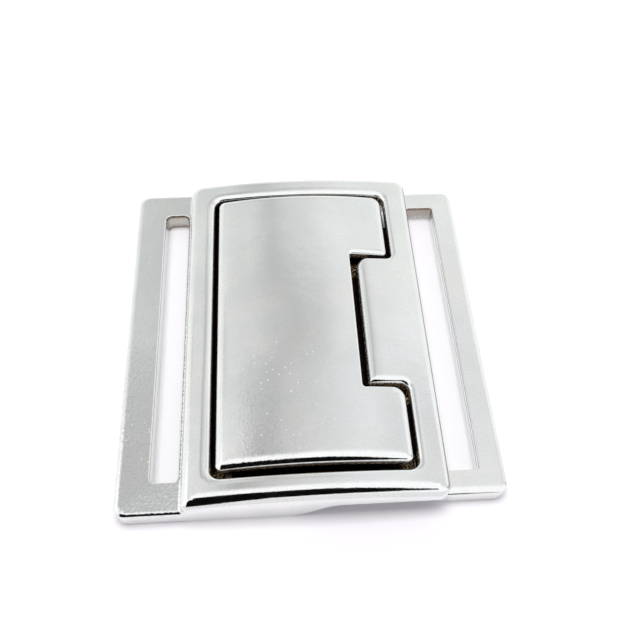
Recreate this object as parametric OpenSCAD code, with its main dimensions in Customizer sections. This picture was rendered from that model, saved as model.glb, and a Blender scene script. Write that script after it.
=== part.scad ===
// Snap buckle of plated die-cast metal for 50 mm webbing, closed and lying flat.
// X runs along the webbing, Y across it, and Z = 0 is the surface it lies on.
// The origin is under the middle of the whole buckle.

/* [Overall] */
// Length of the closed buckle along the webbing
buckle_l = 58; // [56:0.5:60]
// Width of the frame across the webbing
buckle_w = 61; // [60:0.5:64]
// Radius of the outer corners, seen from above
corner_r = 1.8; // [1:0.1:2.5]

/* [Left strap plate] */
// Thickness of the plate
left_plate_t = 3.3; // [2.8:0.1:3.3]
// Width of the bar that the webbing wraps
left_bar_w = 5.1; // [4.5:0.1:5.1]
// Width of the slot along the webbing
left_slot_w = 4.2; // [4.1:0.1:4.2]
// Length of the slot across the webbing
left_slot_l = 51; // [50:0.5:52]
// Corner radius of the slot
left_slot_r = 0.9; // [0.5:0.1:1.5]
// Width of the strip between the slot and the frame
left_strip_w = 0.6; // [0.5:0.1:0.7]

/* [Right strap plate] */
// Thickness of the plate
right_plate_t = 3.05; // [2.8:0.05:3.05]
// Width of the plate across the webbing
right_plate_w = 59.2; // [58:0.2:59.6]
// Width of the bar that the webbing wraps
right_bar_w = 3.9; // [3.7:0.1:4.1]
// Width of the slot along the webbing
right_slot_w = 4.7; // [4.4:0.1:4.7]
// Length of the slot across the webbing
right_slot_l = 51.4; // [50:0.2:52]
// Corner radius of the slot
right_slot_r = 0.5; // [0.3:0.1:1]

/* [Frame] */
// Length of the arched frame along the webbing
frame_l = 39.1; // [38.5:0.1:39.1]
// Height of the arch at its two ends
frame_end_h = 5.35; // [5.2:0.05:5.6]
// Height of the arch at its crown
frame_crown_h = 6.9; // [6.7:0.1:7.2]
// Height of the frame's underside over the tongue
bridge_h = 3.35; // [3.35:0.05:3.5]
// Width of the frame's left bar
frame_left_bar_w = 4.15; // [4:0.05:4.3]
// Width of the frame's right bar
frame_right_bar_w = 4.2; // [4:0.1:4.3]
// Width of the frame's front and back bars
frame_side_bar_w = 3.95; // [3.8:0.05:4.1]
// Corner radius of the window
window_r = 1.6; // [1:0.1:2]
// Thickness of the floor under the window
floor_t = 1.2; // [1:0.1:1.3]
// Length over which the lower edge of each side wall rises
rise_l = 7.5; // [6:0.5:8]
// How far the frame reaches over the tongue's strap plate
frame_reach = 2.4; // [2:0.1:2.6]

/* [Tab] */
// Reach of the tab into the window
tab_l = 6.3; // [5.8:0.1:6.4]
// Width of the tab across the webbing
tab_w = 24.2; // [23:0.2:24.2]
// Radius of the tab's tip at the back
tab_back_r = 1; // [0.5:0.1:1.5]
// Radius of the tab's tip at the front
tab_front_r = 0.3; // [0.2:0.1:1]
// Radius of the window's corner behind the tab
root_back_r = 0.7; // [0.4:0.1:0.8]
// Radius of the window's corner in front of the tab
root_front_r = 1.3; // [0.5:0.1:1.4]

/* [Press plate] */
// Gap between the press plate and the frame at the left and the right
plate_gap = 0.87; // [0.7:0.01:1]
// Gap at the front, which is the wide one
plate_front_gap = 1.6; // [1:0.1:1.7]
// Gap at the back
plate_back_gap = 0.7; // [0.6:0.1:1]
// How far its crown stands over the frame's crown
plate_proud = 0.8; // [0.5:0.1:1]
// How far its left and right edges stand over the frame
plate_edge_proud = 0.25; // [0.1:0.05:0.4]
// Thickness of the press plate
plate_t = 1.5; // [1.3:0.1:1.6]
// Radius of its front corners and of its back left corner
plate_r = 1; // [0.6:0.1:1.4]
// Radius of its back right corner
plate_back_right_r = 1.6; // [1:0.1:2]
// Gap between the notch and the tab's tip
notch_gap = 1.05; // [0.8:0.05:1.2]
// Gap between the notch and the tab's front side
notch_front_gap = 1; // [0.7:0.1:1.1]
// Gap between the notch and the tab's back side
notch_back_gap = 0.65; // [0.6:0.05:1]
// Radius of the front lobe's corner at the notch
lobe_front_r = 1.8; // [1:0.1:2]
// Radius of the back lobe's corner at the notch
lobe_back_r = 0.4; // [0.3:0.1:1]

/* [Hinge and catch] */
// Radius of the hinge pin
pin_r = 0.75; // [0.6:0.05:0.8]
// Radial clearance of the pin in the press plate
pin_play = 0.05; // [0.03:0.01:0.08]
// Distance of the pin from the press plate's left edge
pin_inset = 1.9; // [1.8:0.1:2.2]
// Height of the pin's axis
pin_z = 4.2; // [4.1:0.1:4.3]
// Thickness of the tongue's neck
neck_t = 1.3; // [1.1:0.1:1.3]
// Width of the tongue's neck
neck_w = 43.2; // [42:0.2:43.2]

/* [Hidden] */

nickel = [0.80, 0.81, 0.82];
bright_nickel = [0.86, 0.87, 0.88];
steel = [0.55, 0.56, 0.58];

arc_fn = 48;
arch_steps = 24;
over = 1;
hidden_r = 0.2;

// Left and right ends of each stretch along X
buckle_x0 = -buckle_l / 2;
buckle_x1 = buckle_l / 2;
left_slot_x0 = buckle_x0 + left_bar_w;
left_slot_x1 = left_slot_x0 + left_slot_w;
frame_x0 = left_slot_x1 + left_strip_w;
frame_x1 = frame_x0 + frame_l;
window_x0 = frame_x0 + frame_left_bar_w;
window_x1 = frame_x1 - frame_right_bar_w;
tab_x0 = window_x1 - tab_l;
right_slot_x1 = buckle_x1 - right_bar_w;
right_slot_x0 = right_slot_x1 - right_slot_w;

half_w = buckle_w / 2;
window_y = half_w - frame_side_bar_w;
tab_y = tab_w / 2;
right_half_w = right_plate_w / 2;

// Press plate, with its notch round the tab
plate_x0 = window_x0 + plate_gap;
plate_x1 = window_x1 - plate_gap;
plate_y0 = -window_y + plate_front_gap;
plate_y1 = window_y - plate_back_gap;
notch_x0 = tab_x0 - notch_gap;
notch_y0 = -tab_y - notch_front_gap;
notch_y1 = tab_y + notch_back_gap;
notch_r = 0.5;

// Arch of the frame and the stronger arch of the press plate
frame_mid_x = (frame_x0 + frame_x1) / 2;
frame_rise = frame_crown_h - frame_end_h;
frame_arch_r = arch_radius(frame_l / 2, frame_rise);
plate_mid_x = (plate_x0 + plate_x1) / 2;
plate_half_l = (plate_x1 - plate_x0) / 2;
plate_crown_h = frame_crown_h + plate_proud;
plate_edge_h = arch_height(frame_arch_r, frame_crown_h, plate_half_l) + plate_edge_proud;
plate_arch_r = arch_radius(plate_half_l, plate_crown_h - plate_edge_h);

// Side walls: their lower edge leaves the surface at rise_x0
rise_x0 = -3.5;
rise_steps = 16;

// Hinge: a barrel under the press plate's left edge
pin_x = plate_x0 + pin_inset;
pin_seat_play = 0.03;
pin_seat_l = 2;
pin_half_l = window_y + pin_seat_l;
pin_seat_depth = 0.1;
barrel_r = 1.5;
barrel_end_gap = 0.6;

// Neck of the tongue, with a notch on each side for the catch legs
neck_z = 1.6;
neck_x0 = -9.5;
neck_half_w = neck_w / 2;
strap_plate_x0 = frame_x1 - frame_reach;
strap_inner_r = 1;
neck_overlap = 0.5;
catch_x0 = 9;
catch_x1 = 11.5;
catch_play = 0.35;
catch_z = 1.8;
catch_hook_h = 1;
catch_reach = 1;
catch_leg_t = 0.8;
floor_gap = 0.4;
floor_x1 = strap_plate_x0 - floor_gap;
floor_hole_play = 0.6;
floor_hole_edge = 0.5;

// Radius of an arch that rises by this much over this half length
function arch_radius(half_l, rise) = (half_l * half_l + rise * rise) / (2 * rise);

// Height of an arch at this distance from its middle
function arch_height(r, crown, x) = crown - r + sqrt(r * r - x * x);

// Height of the side walls' lower edge at a fraction of the rise
function rise_height(u) = bridge_h * (1 - cos(180 * u)) / 2;

// What rounding takes from a corner: quarter 0 is front left, then anticlockwise
module corner_waste(at, quarter, r) {
    translate(at) rotate(90 * quarter) difference() {
        translate([-over / 2, -over / 2]) square(r + over / 2);
        translate([r, r]) circle(r, $fn = arc_fn);
    }
}

// Rectangle with its own radius at each corner, front left first, then anticlockwise
module rounded_rect(lo, hi, radii) {
    corners = [lo, [hi.x, lo.y], hi, [lo.x, hi.y]];
    difference() {
        translate(lo) square(hi - lo);
        for (i = [0:3]) corner_waste(corners[i], i, radii[i]);
    }
}

// Everything below an arch along X that reaches this far from its middle
module under_arch(mid_x, half_l, crown, r) {
    arch = [for (i = [0:arch_steps])
        let (x = half_l * (2 * i / arch_steps - 1))
            [mid_x + x, arch_height(r, crown, x)]];
    rotate([90, 0, 0]) linear_extrude(height = 2 * buckle_w, center = true)
        polygon(concat(arch, [[mid_x + half_l, -over], [mid_x - half_l, -over]]));
}

// Bar along Y, round in section
module rod(x, z, r, y0, y1) {
    translate([x, y1, z]) rotate([90, 0, 0]) cylinder(h = y1 - y0, r = r, $fn = arc_fn);
}

// Block between two corners
module block(lo, hi) {
    translate(lo) cube(hi - lo);
}

// Tab, with its root run into the frame's right bar
module tab_outline() {
    rounded_rect([tab_x0, -tab_y], [window_x1 + over, tab_y],
                 [tab_front_r, hidden_r, hidden_r, tab_back_r]);
}

// Window of the frame, with the tab left standing in it
module window_outline() {
    difference() {
        rounded_rect([window_x0, -window_y], [window_x1, window_y],
                     [window_r, window_r, window_r, window_r]);
        tab_outline();
        corner_waste([window_x1, tab_y], 1, root_back_r);
        corner_waste([window_x1, -tab_y], 2, root_front_r);
    }
}

// Strap plate of one half: its outline less its slot
module strap_plate(lo, hi, radii, slot_lo, slot_hi, slot_r, thickness) {
    linear_extrude(height = thickness) difference() {
        rounded_rect(lo, hi, radii);
        rounded_rect(slot_lo, slot_hi, [slot_r, slot_r, slot_r, slot_r]);
    }
}

// Space below the lower edge of the back side wall
module side_relief() {
    points = [for (i = [0:rise_steps])
        [rise_x0 + rise_l * i / rise_steps, rise_height(i / rise_steps)]];
    end_x = frame_x1 + over;
    translate([0, half_w + over, 0]) rotate([90, 0, 0])
        linear_extrude(height = frame_side_bar_w + over)
            polygon(concat([[rise_x0, -over]], points, [[end_x, bridge_h], [end_x, -over]]));
}

// Hole in the floor that the back catch leg sinks into
module floor_hole() {
    block([catch_x0 - floor_hole_play, neck_half_w - catch_reach - floor_hole_play, -over],
          [catch_x1 + floor_hole_play,
           neck_half_w + catch_play + catch_leg_t + floor_hole_edge, floor_t + over]);
}

// Arched block of the frame, before anything is cut from it
module frame_body() {
    intersection() {
        linear_extrude(height = frame_crown_h + over)
            rounded_rect([frame_x0, -half_w], [frame_x1, half_w],
                         [hidden_r, corner_r, corner_r, corner_r]);
        under_arch(frame_mid_x, frame_l / 2, frame_crown_h, frame_arch_r);
    }
}

// Left half: strap plate, arched frame with its window and tab, and the floor under it
module frame() {
    color(nickel) difference() {
        union() {
            strap_plate([buckle_x0, -half_w], [window_x0 - over, half_w],
                        [corner_r, hidden_r, hidden_r, corner_r],
                        [left_slot_x0, -left_slot_l / 2], [left_slot_x1, left_slot_l / 2],
                        left_slot_r, left_plate_t);
            frame_body();
        }
        translate([0, 0, floor_t]) linear_extrude(height = frame_crown_h) window_outline();
        block([tab_x0 - over, -window_y, floor_t], [frame_x1 + over, window_y, bridge_h]);
        block([floor_x1, -half_w - over, -over], [frame_x1 + over, half_w + over, bridge_h]);
        side_relief();
        mirror([0, 1, 0]) side_relief();
        floor_hole();
        mirror([0, 1, 0]) floor_hole();
        rod(pin_x, pin_z, pin_r + pin_seat_play,
            -pin_half_l - pin_seat_depth, pin_half_l + pin_seat_depth);
    }
}

// Neck of the tongue, with its two notches
module neck_outline() {
    difference() {
        rounded_rect([neck_x0, -neck_half_w], [strap_plate_x0 + neck_overlap, neck_half_w],
                     [corner_r, hidden_r, hidden_r, corner_r]);
        for (side = [-1, 1])
            translate([catch_x0 - catch_play, side * neck_half_w - catch_reach - catch_play])
                square([catch_x1 - catch_x0 + 2 * catch_play, 2 * (catch_reach + catch_play)]);
    }
}

// Right half: strap plate, and the neck that slides into the frame
module tongue() {
    color(nickel) union() {
        strap_plate([strap_plate_x0, -right_half_w], [buckle_x1, right_half_w],
                    [strap_inner_r, corner_r, corner_r, strap_inner_r],
                    [right_slot_x0, -right_slot_l / 2], [right_slot_x1, right_slot_l / 2],
                    right_slot_r, right_plate_t);
        translate([0, 0, neck_z]) linear_extrude(height = neck_t) neck_outline();
    }
}

// Press plate from above, with its notch
module plate_outline() {
    difference() {
        rounded_rect([plate_x0, plate_y0], [plate_x1, plate_y1],
                     [plate_r, plate_r, plate_back_right_r, plate_r]);
        rounded_rect([notch_x0, notch_y0], [plate_x1 + over, notch_y1],
                     [notch_r, hidden_r, hidden_r, notch_r]);
        corner_waste([plate_x1, notch_y1], 1, lobe_back_r);
        corner_waste([plate_x1, notch_y0], 2, lobe_front_r);
    }
}

// Leg down past the neck, with a hook that fills the neck's notch
module catch_leg() {
    leg_y0 = neck_half_w + catch_play;
    block([catch_x0, leg_y0, catch_z], [catch_x1, leg_y0 + catch_leg_t, plate_edge_h]);
    block([catch_x0, leg_y0 - catch_reach - catch_play, catch_z],
          [catch_x1, leg_y0 + catch_leg_t, catch_z + catch_hook_h]);
}

// Arched press plate, with the barrel on its pin and its two catch legs
module press_plate() {
    barrel_y0 = plate_y0 + barrel_end_gap;
    barrel_y1 = plate_y1 - barrel_end_gap;
    color(bright_nickel) difference() {
        union() {
            intersection() {
                linear_extrude(height = plate_crown_h + over) plate_outline();
                difference() {
                    under_arch(plate_mid_x, plate_half_l, plate_crown_h, plate_arch_r);
                    under_arch(plate_mid_x, plate_half_l + over, plate_crown_h - plate_t,
                               plate_arch_r - plate_t);
                }
            }
            rod(pin_x, pin_z, barrel_r, barrel_y0, barrel_y1);
            block([pin_x - barrel_r, barrel_y0, pin_z],
                  [pin_x + barrel_r, barrel_y1, plate_edge_h - plate_t / 2]);
            catch_leg();
            mirror([0, 1, 0]) catch_leg();
        }
        rod(pin_x, pin_z, pin_r + pin_play, plate_y0 - over, plate_y1 + over);
    }
}

// Plain pin along Y, seated blind in the frame's side walls
module hinge_pin() {
    color(steel) rod(pin_x, pin_z, pin_r, -pin_half_l, pin_half_l);
}

frame();
tongue();
press_plate();
hinge_pin();
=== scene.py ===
"""Looks of a plated snap buckle: castings with rounded edges, their finish, and a plain stage."""
import math

import bmesh
import bpy
from mathutils import Matrix, Vector


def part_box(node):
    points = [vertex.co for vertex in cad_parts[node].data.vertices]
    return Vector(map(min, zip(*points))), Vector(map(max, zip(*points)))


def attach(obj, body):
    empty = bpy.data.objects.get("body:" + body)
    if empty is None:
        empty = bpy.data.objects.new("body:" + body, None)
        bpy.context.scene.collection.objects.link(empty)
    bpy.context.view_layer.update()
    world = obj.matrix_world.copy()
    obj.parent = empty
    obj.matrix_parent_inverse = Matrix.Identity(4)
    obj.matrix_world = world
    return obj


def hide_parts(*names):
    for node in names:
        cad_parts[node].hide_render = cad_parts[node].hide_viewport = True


bl_info = {
    "name": "Snap buckle",
    "version": (1, 0, 0),
    "blender": (4, 5, 0),
    "location": "3D View > Sidebar > Buckle",
    "description": "Builds the castings of a snap buckle, their plating and a plain stage",
    "category": "Object",
}

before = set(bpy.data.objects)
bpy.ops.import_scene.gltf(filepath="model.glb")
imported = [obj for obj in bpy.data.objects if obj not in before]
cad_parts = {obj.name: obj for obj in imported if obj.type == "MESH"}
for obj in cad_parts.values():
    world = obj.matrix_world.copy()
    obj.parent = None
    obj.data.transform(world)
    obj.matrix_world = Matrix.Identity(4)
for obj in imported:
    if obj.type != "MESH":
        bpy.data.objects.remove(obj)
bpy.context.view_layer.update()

# Millimetres in a metre: shapes are worked out in millimetres and scaled last
MM = 1000.0

# Height of a casting's plain block, before its top takes its shape
BLOCK_H = 10.0

# Which way a face's shading goes: over the top, round the walls, or flat
TOP, WALL, FLAT = 0, 1, 2

# A face is a wall where its normal rises less than the first, and level where it rises more than the second
WALL_RISE, LEVEL_RISE = 0.1, 0.9

# Step of the probe that finds which way an outline lies, which is also how near counts as on it
PROBE = 0.02

# Steepest grade that shading is given at the foot of a rounded edge
STEEPEST = 60.0

# Rounded edges have no effect deeper than this
WIDEST_RIM = 3.0

# Front and back edges this near the middle can differ from the others, as the tab's and the notch's do
NEAR_TAB_Y = 16.0

# So can left and right edges left of this place
NEAR_TAB_X = 12.5


def millimetres(corner):
    """Corner of a CAD box in millimetres."""
    return corner * MM


FRAME_LOW, FRAME_HIGH = map(millimetres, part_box("frame"))
TONGUE_LOW, TONGUE_HIGH = map(millimetres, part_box("tongue"))
PLATE_LOW, PLATE_HIGH = map(millimetres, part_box("press_plate"))
PIN_LOW, PIN_HIGH = map(millimetres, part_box("hinge_pin"))

# Where crust has gathered in the window: each place's low corner, its high corner and how thick it lies
CRUSTED = (
    ((7.8, 10.8), (11.5, 13.2), 0.9),
    ((9.8, -14.2), (16.2, -12.0), 0.9),
    ((14.0, -27.0), (16.5, -23.5), 0.9),
    ((-15.2, -26.8), (-12.5, -24.0), 0.9),
    ((13.0, 24.6), (15.9, 27.0), 0.9),
    ((-11.0, -27.0), (12.5, -25.0), 0.55),
)


def round_min(a, b, radius):
    """Depth inside two edges that meet in a corner of this radius."""
    return max(radius, min(a, b)) - math.hypot(max(radius - a, 0.0), max(radius - b, 0.0))


class Outline:
    """Rectangle seen from above, with its own radius at each corner, front left first, then anticlockwise."""

    def __init__(self, low, high, radii):
        self.low = low
        self.high = high
        self.radii = radii

    def corners(self):
        """Corners as (x, y, radius)."""
        (x0, y0), (x1, y1) = self.low, self.high
        places = ((x0, y0), (x1, y0), (x1, y1), (x0, y1))
        return [(x, y, radius) for (x, y), radius in zip(places, self.radii)]

    def depth(self, x, y):
        """How far a point lies inside the outline."""
        (x0, y0), (x1, y1) = self.low, self.high
        right = 2 * x > x0 + x1
        back = 2 * y > y0 + y1
        corner = (3 if back else 0) if not right else (2 if back else 1)
        return round_min(min(x - x0, x1 - x), min(y - y0, y1 - y), self.radii[corner])


class Arch:
    """Top that rises from two ends along X to a crown midway."""

    def __init__(self, x0, x1, end, crown):
        half = (x1 - x0) / 2
        rise = crown - end
        self.middle = (x0 + x1) / 2
        self.crown = crown
        self.radius = (half * half + rise * rise) / (2 * rise)

    def height(self, x):
        """Height at a place along X."""
        across = x - self.middle
        return self.crown - self.radius + math.sqrt(self.radius**2 - across**2)

    def grade(self, x):
        """Slope at a place along X."""
        across = x - self.middle
        return -across / math.sqrt(self.radius**2 - across**2)


# What the CAD boxes don't give, in millimetres: the frame's left end, the height of its two ends, the radius
# of the castings' corners, the left strap plate's thickness and the right one's left end, and the two slots
FRAME_X0 = -19.1
FRAME_END = 5.35
CORNER = 1.8
LEFT_PLATE_T = 3.3
LEFT_SLOT = Outline((-23.9, -25.5), (-19.7, 25.5), (0.9, 0.9, 1.1, 1.1))
RIGHT_PLATE_X0 = 17.6
RIGHT_SLOT = Outline((20.4, -25.7), (25.1, 25.7), (0.5,) * 4)

# The frame's lower edge rises to this height, from this place along X and over this length
BRIDGE = 3.65
RISE_X0 = -3.5
RISE_L = 7.5

# Thickness and right end of the floor under the window
FLOOR_T = 1.2
FLOOR_X1 = 17.2

# Further than any edge reaches
FAR = 20.0

# The frame's window, the tab that reaches into it from the right, and the fillets at the tab's root
WINDOW = Outline((-14.85, -26.35), (15.8, 26.75), (1.6,) * 4)
TAB = Outline((9.5, -12.1), (WINDOW.high[0] + FAR, 12.1), (0.3, 0.0, 0.0, 2.0))
TAB_ROOT_FRONT = 1.3
TAB_ROOT_BACK = 1.2

# The press plate reaches this much further forward and further right than its CAD solid
PLATE_FORWARD = 0.25
PLATE_OUT = 0.06
PLATE = Outline(
    (PLATE_LOW.x, PLATE_LOW.y - PLATE_FORWARD), (PLATE_HIGH.x + PLATE_OUT, PLATE_HIGH.y), (1.0, 1.0, 1.6, 1.0)
)

# The press plate's notch, the radii of the corners beside it, the height of its ends, and its thickness
NOTCH = Outline((8.45, -13.1), (PLATE_HIGH.x + FAR, 12.75), (0.5, 0.0, 0.0, 0.5))
LOBE_FRONT = 1.8
LOBE_BACK = 0.8
PLATE_END = 6.3
PLATE_T = 1.5

FRAME_OUTLINE = Outline(
    (FRAME_X0, FRAME_LOW.y), (FRAME_HIGH.x, FRAME_HIGH.y), (1.0, CORNER, CORNER, CORNER)
)
FRAME_ARCH = Arch(FRAME_X0, FRAME_HIGH.x, FRAME_END, FRAME_HIGH.z)
PLATE_ARCH = Arch(PLATE_LOW.x, PLATE_HIGH.x, PLATE_END, PLATE_HIGH.z)


def window_depth(x, y):
    """Depth of the metal round the window, with the tab's roots filleted."""
    root = TAB_ROOT_FRONT if y < 0 else TAB_ROOT_BACK
    return -round_min(WINDOW.depth(x, y), -TAB.depth(x, y), root)


def tip_depth(x, y):
    """Depth behind the tab's tip, where it rolls off over its whole width."""
    within = x > TAB.low[0] - 1 and abs(y) < TAB.high[1] + 2 * PROBE
    return x - TAB.low[0] if within else FAR


def plate_depth(x, y):
    """Depth inside the press plate's edge, notch and all."""
    lobe = LOBE_FRONT if y < 0 else LOBE_BACK
    return round_min(PLATE.depth(x, y), -NOTCH.depth(x, y), lobe)


def crowned(depth, reach, fall):
    """Fall and grade at a depth inside an edge rounded to a quarter ellipse. A negative fall is a fillet."""
    if depth >= reach or not fall:
        return 0.0, 0.0
    out = min(1 - depth / reach, 1.0)
    left = math.sqrt(1 - out * out)
    grade = fall / reach * out / max(left, 1e-6)
    return fall * (1 - left), max(-STEEPEST, min(grade, STEEPEST))


def sides(pair, cut=0.0, lip=0.0):
    """Reach, fall, cut and lip of an edge in millimetres, from its width and height in metres."""
    return (pair[0] * MM, pair[1] * MM, cut, lip)


class Rim:
    """Rounded edge of an outline. Each side has its own reach, fall, cut and lip.

    A side is named after the way it faces, and those near the tab can be given apart. The cut is how much of
    the ellipse's foot is missing, and the lip is the small radius that is there instead.
    """

    def __init__(self, depth, front, back, left, right, near=None):
        self.depth = depth
        self.far = {"front": front, "back": back, "left": left, "right": right}
        self.near = {**self.far, **(near or {})}

    def shape(self, x, y, outward):
        """Reach, fall, cut and lip where the edge faces a level direction."""
        along_y = self.near if abs(y) < NEAR_TAB_Y else self.far
        along_x = self.near if x < NEAR_TAB_X else self.far
        sides = (
            (along_y["back" if outward.y > 0 else "front"], outward.y**2),
            (along_x["right" if outward.x > 0 else "left"], outward.x**2),
        )
        return [sum(side[i] * share for side, share in sides) for i in range(4)]

    def fall_and_rise(self, x, y):
        """How far the edge falls at a point, and the way and steepness in which it rises."""
        depth = self.depth(x, y)
        if depth > WIDEST_RIM:
            return 0.0, Vector((0, 0, 0))
        inward = steepest_way(self.depth, x, y)
        reach, fall, cut, lip = self.shape(x, y, -inward)
        fall, grade = crowned(depth + cut, reach, fall)
        lip_fall, lip_grade = crowned(depth, max(lip, 1e-6), lip)
        return fall + lip_fall, inward * (grade + lip_grade)


class Surface:
    """Top of a casting: an arch or a flat, less what each of its edges falls away."""

    def __init__(self, arch, rims):
        self.arch = arch
        self.rims = rims

    def height(self, x, y):
        """Height at a point."""
        return self.arch.height(x) - sum(rim.fall_and_rise(x, y)[0] for rim in self.rims)

    def normal(self, x, y):
        """Direction that the top faces at a point."""
        rise = Vector((self.arch.grade(x), 0.0, 0.0))
        for rim in self.rims:
            rise += rim.fall_and_rise(x, y)[1]
        return Vector((-rise.x, -rise.y, 1.0)).normalized()

    def wall_normal(self, x, y):
        """Direction that the nearest wall faces."""
        nearest = min(self.rims, key=lambda rim: abs(rim.depth(x, y)))
        return -steepest_way(nearest.depth, x, y)


def steepest_way(depth, x, y):
    """Level direction in which a depth grows fastest."""
    way = Vector((
        depth(x + PROBE, y) - depth(x - PROBE, y),
        depth(x, y + PROBE) - depth(x, y - PROBE),
        0.0,
    ))
    return way.normalized()


def add_outline(bm, corners):
    """Flat face through (x, y, radius) corners, the small ones in fewer steps."""
    small = 0.6
    verts = [bm.verts.new((x, y, 0.0)) for x, y, _ in corners]
    bm.faces.new(verts)
    for vert, (_, _, radius) in zip(verts, corners):
        if radius:
            bmesh.ops.bevel(
                bm, geom=[vert], offset=radius, offset_type="ABSOLUTE", affect="VERTICES",
                segments=4 if radius < small else 9, profile=0.5, material=-1,
            )


def raise_block(bm, height):
    """Flat outlines become a closed block of this height."""
    bmesh.ops.remove_doubles(bm, verts=bm.verts, dist=1e-4)
    made = bmesh.ops.extrude_face_region(bm, geom=bm.faces[:])
    raised = [part for part in made["geom"] if isinstance(part, bmesh.types.BMVert)]
    bmesh.ops.translate(bm, verts=raised, vec=(0, 0, height))
    bmesh.ops.recalc_face_normals(bm, faces=bm.faces)


def round_edges(bm, level, radius, segments, spared=None):
    """The edges where the walls meet the flat face at this level get a small radius.

    spared is an outline whose own edges are left alone.
    """
    bm.normal_update()
    edges = []
    for edge in bm.edges:
        slants = sorted(abs(face.normal.z) for face in edge.link_faces)
        at_level = all(abs(vert.co.z - level) < 1e-3 for vert in edge.verts)
        x, y, _ = edge.verts[0].co
        left_alone = spared and spared.depth(x, y) > -PROBE
        if at_level and not left_alone and slants[0] < WALL_RISE and slants[-1] > LEVEL_RISE:
            edges.append(edge)
    bmesh.ops.bevel(
        bm, geom=edges, offset=radius, offset_type="OFFSET", affect="EDGES",
        segments=segments, profile=0.5, clamp_overlap=False, material=-1,
    )


def mark_shading(bm):
    """Each face is marked as top, wall or flat while the block is still plain."""
    slight = 0.05
    bm.normal_update()
    kind = bm.faces.layers.int.new("shading")
    for face in bm.faces:
        if face.normal.z < -slight:
            face[kind] = FLAT
        elif face.normal.z < slight:
            face[kind] = WALL
        else:
            face[kind] = TOP


def shape_block(bm, surface, lower=None):
    """The block's top takes the surface's heights, and its foot those that lower gives for an x and a z."""
    for vert in bm.verts:
        x, y, z = vert.co
        if z > BLOCK_H / 2:
            vert.co.z = surface.height(x, y)
        elif lower:
            vert.co.z = lower(x, z)


def stations(low, high, edges, fine, coarse=1.0):
    """Places between two ends: close together beside each (edge, inward width), wide apart elsewhere."""
    places = []
    for edge, width in edges:
        count = math.ceil(abs(width) / fine)
        places += [edge + width * i / count for i in range(0 if low < edge < high else 1, count + 1)]
    count = max(1, round((high - low) / coarse))
    for i in range(1, count):
        place = low + (high - low) * i / count
        if min((abs(place - other) for other in places), default=coarse) > coarse / 2:
            places.append(place)
    kept = []
    for place in sorted(places):
        inside = low + fine / 4 < place < high - fine / 4
        if inside and (not kept or place - kept[-1] > fine / 3):
            kept.append(place)
    return kept


def cut_finely(bm, outline, fine, x_edges, y_edges):
    """Cuts across both axes of an outline's block, close together beside each (edge, inward width)."""
    for axis, edges in ((1, y_edges), (0, x_edges)):
        normal = Vector((0, 0, 0))
        normal[axis] = 1
        for place in stations(outline.low[axis], outline.high[axis], edges, fine):
            bmesh.ops.bisect_plane(
                bm, geom=bm.verts[:] + bm.edges[:] + bm.faces[:], dist=0.01,
                plane_co=normal * place, plane_no=normal,
            )


def add_box(bm, low, high):
    """Plain block between two corners. Returns its faces."""
    before = set(bm.faces)
    low, high = Vector(low), Vector(high)
    size = high - low
    spot = Matrix.Translation((low + high) / 2) @ Matrix.Diagonal((*size, 1.0))
    bmesh.ops.create_cube(bm, size=1.0, matrix=spot)
    return [face for face in bm.faces if face not in before]


def add_prism(bm, corners, length, soften, place):
    """Block raised from an outline, the edges of its ends just broken, and put in place by a matrix."""
    block = bmesh.new()
    add_outline(block, corners)
    raise_block(block, length)
    for level in (length, 0.0):
        round_edges(block, level, soften, segments=3)
    bmesh.ops.transform(block, matrix=place, verts=block.verts)
    scratch = bpy.data.meshes.new("scratch")
    block.to_mesh(scratch)
    block.free()
    before = set(bm.faces)
    bm.from_mesh(scratch)
    bpy.data.meshes.remove(scratch)
    kind = bm.faces.layers.int["shading"]
    for face in set(bm.faces) - before:
        face[kind] = FLAT


def finish_piece(name, bm, surface, body, node, finish):
    """Make a piece's object in metres, shade it from its own surface, and give it its body and finish.

    node is the CAD node that the piece stands for, which is hidden.
    """
    bmesh.ops.remove_doubles(bm, verts=bm.verts, dist=1e-4)
    mesh = bpy.data.meshes.new(name)
    bm.normal_update()
    bm.to_mesh(mesh)
    bm.free()
    shading = [item.value for item in mesh.attributes["shading"].data]
    normals = [None] * len(mesh.loops)
    for face in mesh.polygons:
        for corner in face.loop_indices:
            x, y, _ = mesh.vertices[mesh.loops[corner].vertex_index].co
            if shading[face.index] == TOP:
                normals[corner] = surface.normal(x, y)
            elif shading[face.index] == WALL:
                normals[corner] = surface.wall_normal(x, y)
            else:
                normals[corner] = face.normal.copy()
    mesh.attributes.remove(mesh.attributes["shading"])
    mesh.transform(Matrix.Scale(1 / MM, 4))
    for face in mesh.polygons:
        face.use_smooth = True
    mesh.normals_split_custom_set(normals)
    piece = bpy.data.objects.new(name, mesh)
    bpy.context.scene.collection.objects.link(piece)
    mesh.materials.append(finish)
    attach(piece, body)
    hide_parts(node)


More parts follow.
